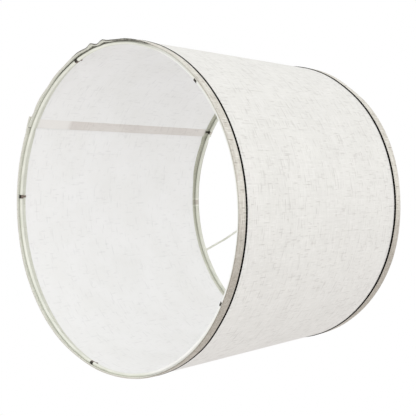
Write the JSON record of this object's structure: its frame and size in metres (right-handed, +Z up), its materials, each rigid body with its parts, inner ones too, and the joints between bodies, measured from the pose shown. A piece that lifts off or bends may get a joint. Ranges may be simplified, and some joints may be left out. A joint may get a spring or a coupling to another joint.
{
  "type": "lamp shade",
  "caption": "Hard-back tapered drum lamp shade in slubbed linen, with trimmed rims, wire rings and a spider fitter that sits on a harp.",
  "frame": {"origin": "middle of the bottom rim, on the surface that the shade stands on", "axes": "+Z up along the shade's axis towards the spider; the lapped seam is at +Y, the back"},
  "size_m": [0.3057, 0.307, 0.2413],
  "materials": {
    "cover_linen": "white slubbed linen, plain weave",
    "liner": "matt white translucent sheet",
    "seam_tape": "translucent adhesive tape",
    "painted_wire": "cream powder coat",
    "trim_linen": "natural slubbed linen tape",
    "black_piping": "black thread cord",
    "hem_tape": "cream woven binding tape",
    "clip_steel": "dark bronze finish"
  },
  "bodies": {
    "root": {"fabric_cover": "cover_linen", "styrene_liner": "liner", "seam_adhesive_tape": "seam_tape", "bottom_wire_ring": "painted_wire", "top_wire_ring": "painted_wire", "fitter_washer": "painted_wire", "spider_arm_1": "painted_wire", "spider_arm_2": "painted_wire", "spider_arm_3": "painted_wire", "bottom_trim_tape": "trim_linen", "bottom_black_piping": "black_piping", "bottom_hem_tape": "hem_tape", "top_trim_tape": "trim_linen", "top_black_piping": "black_piping", "top_hem_tape": "hem_tape", "bottom_ring_clip_1": "clip_steel", "bottom_ring_clip_2": "clip_steel", "bottom_ring_clip_3": "clip_steel", "bottom_ring_clip_4": "clip_steel", "bottom_ring_clip_5": "clip_steel", "top_ring_clip_1": "clip_steel", "top_ring_clip_2": "clip_steel", "top_ring_clip_3": "clip_steel"}
  },
  "joints": []
}
